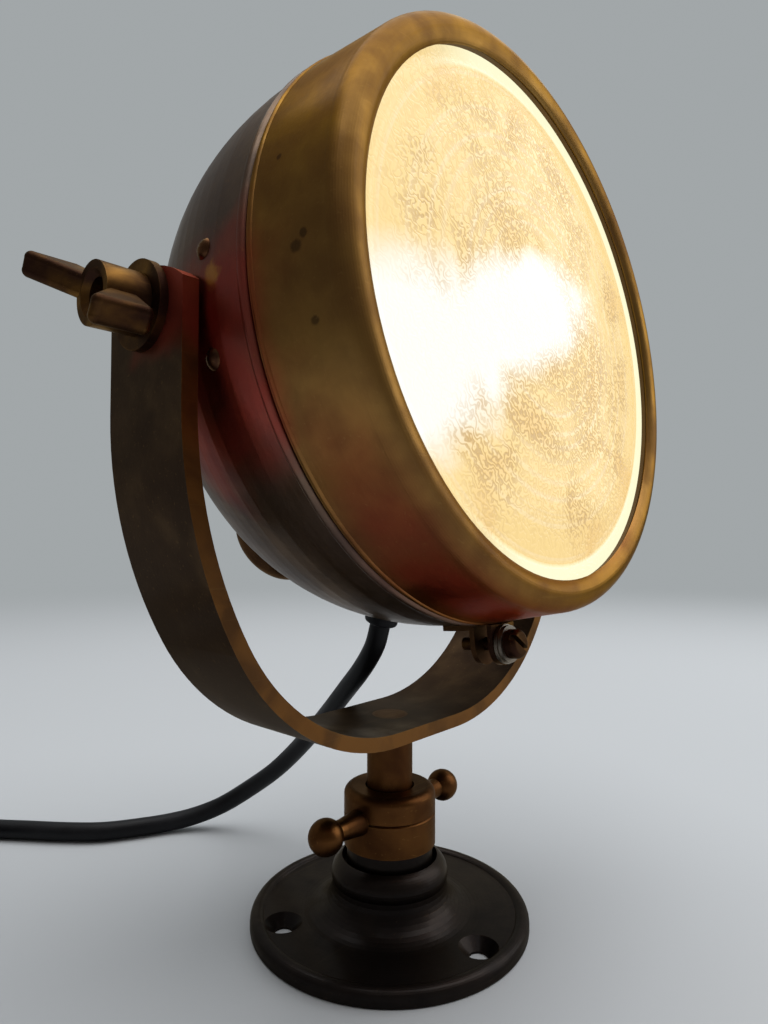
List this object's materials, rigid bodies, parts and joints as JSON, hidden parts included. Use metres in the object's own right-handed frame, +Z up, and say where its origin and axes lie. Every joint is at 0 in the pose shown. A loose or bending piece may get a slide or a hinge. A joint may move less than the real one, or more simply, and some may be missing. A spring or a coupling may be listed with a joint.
{
  "type": "ship searchlight",
  "caption": "Small brass searchlight: a glazed lamp bowl tilts in a strap yoke on wing nuts and swivels in a clamped deck base.",
  "frame": {"origin": "centre of the base's underside, in the middle of the three fixing holes", "axes": "+Z is up from the deck along the spindle, X is the tilt axis, and -Y is the way the beam points at rest"},
  "size_m": [0.2974, 0.2801, 0.2664],
  "materials": {
    "brass": "aged, softly polished brass",
    "aged_brass": "brown tarnished brass",
    "bronze": "nearly black cast bronze",
    "steel": "dull plated steel",
    "silvered": "silvered reflector",
    "lens": "hammered clear glass",
    "lamp_glass": "pearl lamp glass",
    "hot_wire": "lit filament",
    "porcelain": "glazed porcelain",
    "black_rubber": "smooth black rubber"
  },
  "bodies": {
    "base": {"base_flange": "bronze", "socket_sleeve": "aged_brass"},
    "collar": {"clamp_collar": "brass", "collar_handles": "brass"},
    "yoke": {"yoke_post": "brass", "post_washer": "steel", "post_nut": "steel", "yoke_strap": "aged_brass", "strap_washers": "aged_brass", "cord": "black_rubber", "cord_coil": "black_rubber", "cord_tie": "black_rubber", "plug_body": "black_rubber", "plug_pins": "steel"},
    "head": {"rear_bowl": "brass", "trunnion_bosses": "aged_brass", "trunnion_plates": "aged_brass", "trunnion_studs": "steel", "trunnion_rivets": "aged_brass", "aim_knob": "aged_brass", "aim_knob_nut": "steel", "bowl_lug": "brass", "cable_grommet": "black_rubber", "inner_lead": "black_rubber", "reflector": "silvered", "lamp_holder": "brass", "holder_insulator": "porcelain", "bulb_cap": "brass", "bulb_glass": "lamp_glass", "filament": "hot_wire"},
    "bezel": {"bezel_ring": "brass", "lens_glass": "lens", "lens_gasket": "black_rubber", "lens_clips": "steel", "bezel_lug": "steel", "bezel_washers": "steel"},
    "bezel_screw": {"bezel_screw": "steel"},
    "wing_nut_left": {"wing_nut_left": "aged_brass"},
    "wing_nut_right": {"wing_nut_right": "aged_brass"}
  },
  "joints": [
    {"name": "swivel", "type": "hinge", "parent": "base", "child": "yoke", "pos_m": [0, 0, 0.03], "axis": [0, 0, 1], "range_deg": [-170, 170]},
    {"name": "clamp", "type": "hinge", "parent": "base", "child": "collar", "pos_m": [0, 0, 0.0346], "axis": [0, 0, 1], "range_deg": [0, 180]},
    {"name": "tilt", "type": "hinge", "parent": "yoke", "child": "head", "pos_m": [0, 0, 0.1792], "axis": [-1, 0, 0], "range_deg": [-40, 60], "deforming": ["cord"]},
    {"name": "nut_left", "type": "hinge", "parent": "head", "child": "wing_nut_left", "pos_m": [-0.096, 0, 0.1792], "axis": [-1, 0, 0], "range_deg": [0, 360]},
    {"name": "nut_right", "type": "hinge", "parent": "head", "child": "wing_nut_right", "pos_m": [0.096, 0, 0.1792], "axis": [1, 0, 0], "range_deg": [0, 360]},
    {"name": "bezel_off", "type": "slide", "parent": "head", "child": "bezel", "axis": [0, -0.9945, 0.1045], "range_m": [0, 0.01]},
    {"name": "screw_turn", "type": "hinge", "parent": "bezel", "child": "bezel_screw", "pos_m": [0, -0.04719, 0.09376], "axis": [0, -0.9945, 0.1045], "range_deg": [0, 720]}
  ]
}
